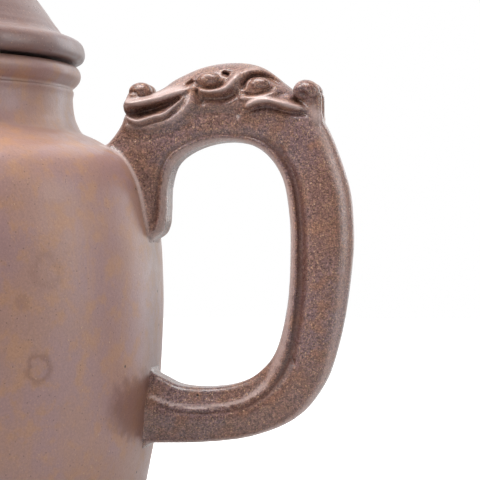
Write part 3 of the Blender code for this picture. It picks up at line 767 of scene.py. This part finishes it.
def to_linear(red, green, blue):
    """A colour given as 0 to 255, for a shader socket."""
    parts = [c / 255 for c in (red, green, blue)]
    return tuple(c / 12.92 if c <= 0.04045 else ((c + 0.055) / 1.055) ** 2.4 for c in parts) + (1.0,)


def window(tree, value, low, high, low_to=0.0, high_to=1.0):
    """Value eased from low_to to high_to as it goes from low to high."""
    inputs = {"Value": value, "From Min": low, "From Max": high, "To Min": low_to, "To Max": high_to}
    return add_node(tree, "MapRange", inputs, interpolation_type="SMOOTHSTEP").outputs["Result"]


def combined(tree, kind, first, second):
    """Two numbers put together by a Math node of that kind."""
    return add_node(tree, "Math", {0: first, 1: second}, operation=kind).outputs[0]


def combined_vectors(tree, kind, first, second):
    """Two vectors put together by a Vector Math node of that kind."""
    return add_node(tree, "VectorMath", {0: first, 1: second}, operation=kind).outputs[0]


def scaled_vector(tree, vector, factor):
    """A vector made longer or shorter by a factor."""
    return add_node(tree, "VectorMath", {0: vector, "Scale": factor}, operation="SCALE").outputs[0]


def mixed(tree, share, first, second, kind="MIX"):
    """The first colour with that share of the second mixed in."""
    made = add_node(tree, "Mix", data_type="RGBA", blend_type=kind)
    for socket, value in (("Factor", share), (6, first), (7, second)):
        if isinstance(value, bpy.types.NodeSocket):
            tree.links.new(value, made.inputs[socket])
        else:
            made.inputs[socket].default_value = value
    return made.outputs[2]


def noise(tree, place, scale, detail, roughness, stretch=None):
    """Cloudy noise, stretched where a stretch is given. The scale is in clouds per mm."""
    if stretch:
        place = add_node(tree, "Mapping", {"Vector": place, "Scale": stretch}).outputs["Vector"]
    inputs = {"Vector": place, "Scale": scale, "Detail": detail, "Roughness": roughness}
    return add_node(tree, "TexNoise", inputs).outputs["Fac"]


def grains(tree, place, scale, share, size):
    """A mask of small separate grains: that share of the cells hold one, of about that size in a cell."""
    cells = add_node(tree, "TexVoronoi", {"Vector": place, "Scale": scale}, feature="F1")
    chance = add_node(tree, "SeparateColor", {"Color": cells.outputs["Color"]}).outputs["Red"]
    held = combined(tree, "LESS_THAN", chance, share)
    spot = window(tree, cells.outputs["Distance"], size, size * 0.45)
    return combined(tree, "MULTIPLY", held, spot)


def stain_and_shade_patch(tree, place, colour, centre, inner, outer, strength, stretch):
    """A brown patch with a wandering edge round a centre, for the real stains and for the painted shadow
    beside the lower joint: a ring, or a spot when inner is 0.
    """
    wander = add_node(tree, "TexNoise", {"Vector": place, "Scale": 0.6, "Detail": 3.0}).outputs["Color"]
    shift = combined_vectors(tree, "SUBTRACT", wander, (0.5, 0.5, 0.5))
    moved = combined_vectors(tree, "ADD", place, scaled_vector(tree, shift, 0.7 * outer))
    away = combined_vectors(tree, "SUBTRACT", moved, centre)
    away = combined_vectors(tree, "MULTIPLY", away, stretch)
    distance = add_node(tree, "VectorMath", {0: away}, operation="LENGTH").outputs["Value"]
    mark = window(tree, distance, outer, 0.6 * outer, 0.0, strength)
    if inner:
        cleared = window(tree, distance, inner, 0.6 * inner, 1.0, 0.15)
        mark = combined(tree, "MULTIPLY", mark, cleared)
    return mixed(tree, mark, colour, to_linear(*STAIN_AND_SHADE_BROWN))


def mottled(tree, place, patches, base, warm, cool, streaks):
    """The clay's ground colour: broad cool clouds, warm patches and upright streaks."""
    broad = noise(tree, place, scale=0.085, detail=3.0, roughness=0.55)
    long_streaks = noise(tree, place, scale=0.55, detail=4.0, roughness=0.6, stretch=(1.0, 1.0, 0.22))
    colour = mixed(tree, window(tree, broad, 0.42, 0.62), to_linear(*base), to_linear(*cool))
    colour = mixed(tree, window(tree, patches, 0.47, 0.66, 0.0, 0.8), colour, to_linear(*warm))
    return mixed(tree, window(tree, long_streaks, 0.5, 0.72, 0.0, streaks), colour, to_linear(*warm))


def shaded(tree, colour, fine, grit, depth):
    """The colour made lighter and darker from grain to grain, more by the grit than by the fine noise."""
    fine_depth = 0.7 * depth
    fine_shade = window(tree, fine, 0.25, 0.75, 1 - fine_depth, 1 + fine_depth)
    grit_shade = window(tree, grit, 0.3, 0.7, 1 - depth, 1 + depth)
    shade = combined(tree, "MULTIPLY", fine_shade, grit_shade)
    grey = add_node(tree, "CombineColor", {"Red": shade, "Green": shade, "Blue": shade}).outputs[0]
    return mixed(tree, 1.0, colour, grey, "MULTIPLY")


def make_clay(name, base, warm, cool, gold, grain_share, grit_depth, polish, streaks=0.0, stains_and_shade=()):
    """Unglazed zisha clay: mottled, sprinkled with sand grains, polished by handling, with painted highlight
    and painted shade mixed in where the tone attribute says.
    """
    made = bpy.data.materials.new(name)
    made.use_nodes = True
    tree = made.node_tree
    shader = tree.nodes["Principled BSDF"]
    place = scaled_vector(tree, add_node(tree, "TexCoord").outputs["Object"], 1 / MM)
    patches = noise(tree, place, scale=0.32, detail=4.0, roughness=0.6)
    fine = noise(tree, place, scale=1.9, detail=4.0, roughness=0.65)
    grit = noise(tree, place, scale=3.3, detail=2.0, roughness=0.7)
    colour = mottled(tree, place, patches, base, warm, cool, streaks)
    for stain_or_shade in stains_and_shade:
        colour = stain_and_shade_patch(tree, place, colour, *stain_or_shade)
    colour = shaded(tree, colour, fine, grit, grit_depth)
    dark_sand = grains(tree, place, scale=3.1, share=grain_share * 0.8, size=0.45)
    fine_sand = grains(tree, place, scale=3.8, share=grain_share, size=0.5)
    large_sand = grains(tree, place, scale=2.1, share=grain_share * 0.3, size=0.36)
    sands = ((dark_sand, 0.55, DARK_SAND), (fine_sand, 0.42, gold), (large_sand, 0.6, gold))
    for sand, strength, tint in sands:
        colour = mixed(tree, combined(tree, "MULTIPLY", sand, strength), colour, to_linear(*tint))
    # Painted shade where the tone is below 0, and painted highlight where it is above 0
    tone = add_node(tree, "Attribute", attribute_name="tone").outputs["Fac"]
    colour = mixed(tree, window(tree, tone, -0.1, -1.2, 0.0, 0.7), colour, to_linear(*PAINTED_SHADE_BROWN))
    colour = mixed(tree, window(tree, tone, 0.1, 1.2, 0.0, 0.62), colour, to_linear(*PAINTED_HIGHLIGHT_COLOUR))
    pores = grains(tree, place, scale=0.42, share=0.035, size=0.13)
    colour = mixed(tree, pores, colour, to_linear(*PORE_DARK))
    tree.links.new(colour, shader.inputs["Base Color"])
    rough = window(tree, patches, 0.3, 0.7, polish - 0.05, polish + 0.06)
    tree.links.new(rough, shader.inputs["Roughness"])
    grain_height = combined(tree, "SUBTRACT", combined(tree, "ADD", fine, large_sand), pores)
    bump = add_node(tree, "Bump", {"Strength": 0.35, "Distance": 0.12 * MM, "Height": grain_height})
    tree.links.new(bump.outputs["Normal"], shader.inputs["Normal"])
    return made


# ---------------------------------------------------------------- studio

def make_floor():
    """A pale floor that shows as white to the camera but keeps the pot's shadow. It is clear from below."""
    bpy.ops.mesh.primitive_circle_add(vertices=128, radius=FLOOR_RADIUS, fill_type="NGON", location=(0, 0, 0))
    floor = bpy.context.object
    floor.name = "studio_floor"
    paper = bpy.data.materials.new("floor paper")
    paper.use_nodes = True
    tree = paper.node_tree
    tree.nodes.remove(tree.nodes["Principled BSDF"])
    matt = add_node(tree, "BsdfDiffuse", {"Color": FLOOR_GREY})
    seen = add_node(tree, "LightPath").outputs["Is Camera Ray"]
    lift = add_node(tree, "Emission", {"Color": WHITE, "Strength": FLOOR_LIFT})
    nothing = add_node(tree, "Emission", {"Strength": 0.0})
    lifted = add_node(tree, "MixShader", {0: seen, 1: nothing.outputs[0], 2: lift.outputs[0]})
    paper_side = add_node(tree, "AddShader", {0: matt.outputs[0], 1: lifted.outputs[0]})
    from_below = add_node(tree, "NewGeometry").outputs["Backfacing"]
    clear = add_node(tree, "BsdfTransparent")
    total = add_node(tree, "MixShader", {0: from_below, 1: paper_side.outputs[0], 2: clear.outputs[0]})
    tree.links.new(total.outputs[0], tree.nodes["Material Output"].inputs["Surface"])
    floor.data.materials.append(paper)


def make_world():
    """White to the camera. As light, a studio that is bright behind the pot and dim above and in front."""
    world = bpy.data.worlds.new("studio")
    bpy.context.scene.world = world
    world.use_nodes = True
    tree = world.node_tree
    way = add_node(tree, "TexCoord").outputs["Generated"]
    parts = add_node(tree, "SeparateXYZ", {"Vector": way})
    facing = add_node(tree, "VectorMath", {0: way, 1: BRIGHT_SIDE}, operation="DOT_PRODUCT").outputs["Value"]
    behind = window(tree, facing, 0.05, 0.9, 0.13, 1.1)
    above = window(tree, parts.outputs["Z"], 0.0, 0.9, 0.0, 0.3)
    level = combined(tree, "ADD", behind, above)
    seen = add_node(tree, "LightPath").outputs["Is Camera Ray"]
    strength = add_node(tree, "Mix", {"Factor": seen, 2: level, 3: 1.0}, data_type="FLOAT").outputs[0]
    sky = tree.nodes["Background"]
    sky.inputs["Color"].default_value = WHITE
    tree.links.new(strength, sky.inputs["Strength"])


def add_softbox(name, place, size, power):
    """A white softbox turned to LIT_POINT."""
    lamp = bpy.data.lights.new(name, "AREA")
    lamp.shape = "RECTANGLE"
    lamp.size, lamp.size_y = size
    lamp.energy = power
    holder = bpy.data.objects.new(name, lamp)
    bpy.context.scene.collection.objects.link(holder)
    holder.location = place
    holder.rotation_euler = (Vector(LIT_POINT) - Vector(place)).to_track_quat("-Z", "Y").to_euler()


def make_camera():
    """Level, a little to the handle's side, close enough that the handle fills the view."""
    lens = bpy.data.cameras.new("camera")
    lens.lens = CAMERA_LENS
    lens.sensor_width = CAMERA_SENSOR
    camera = bpy.data.objects.new("camera", lens)
    bpy.context.scene.collection.objects.link(camera)
    camera.location = CAMERA_PLACE
    camera.rotation_euler = (math.radians(90), 0, math.radians(CAMERA_TURN))
    bpy.context.scene.camera = camera


make_camera()
make_floor()
make_world()
for name, place, size, power in SOFTBOXES:
    add_softbox(name, place, size, power)

body_clay = make_clay(
    "body clay", base=(143, 110, 99), warm=(153, 114, 89), cool=(139, 109, 106), gold=(172, 138, 108),
    grain_share=0.035, grit_depth=0.075, polish=0.38, streaks=0.4, stains_and_shade=STAINS_AND_PAINTED_SHADE,
)
handle_clay = make_clay(
    "handle clay", base=(112, 82, 74), warm=(121, 85, 69), cool=(109, 85, 85), gold=(192, 153, 118),
    grain_share=0.55, grit_depth=0.5, polish=0.29,
)
lid_clay = make_clay(
    "lid clay", base=(112, 88, 84), warm=(114, 86, 78), cool=(108, 89, 90), gold=(166, 132, 108),
    grain_share=0.12, grit_depth=0.05, polish=0.32,
)

wall_nodes = ["body_wall", "shoulder_plate", "neck_collar"]
wall = turned("pot_wall", POT_OUTSIDE + POT_INSIDE, "pot", wall_nodes)
pierce_wall(wall)
pot_pieces = [
    wall,
    turned("pot_rim", MOUTH_RIM, "pot", ["mouth_rim"]),
    turned("pot_base", BASE_PLATE, "pot", ["base_plate"]),
    turned("pot_foot", FOOT_RING, "pot", ["foot_ring"]),
    make_spout(),
    make_strainer(),
]
handle_pieces = [make_handle()]
for index, (name, *shape) in enumerate(PELLETS):
    for side, word in ((-1, "right"), (1, "left")):
        handle_pieces.append(make_pellet(name, *shape, side, word, index + 0.7 * side))
lid_pieces = [
    turned("lid_edge", LID_RIM, "lid", ["lid_rim"]),
    turned("lid_cap", LID_DOME, "lid", ["lid_dome"]),
    turned("lid_seat", LID_FLANGE, "lid", ["lid_flange"]),
    turned("knob_foot", KNOB_BASE, "lid", ["knob_base"], wobble=0.0),
    turned("knob_ball", KNOB, "lid", ["knob"], wobble=0.0),
]
for pieces, clay in ((pot_pieces, body_clay), (handle_pieces, handle_clay), (lid_pieces, lid_clay)):
    for piece in pieces:
        piece.data.materials.clear()
        piece.data.materials.append(clay)

bpy.context.scene.view_settings.view_transform = "Standard"
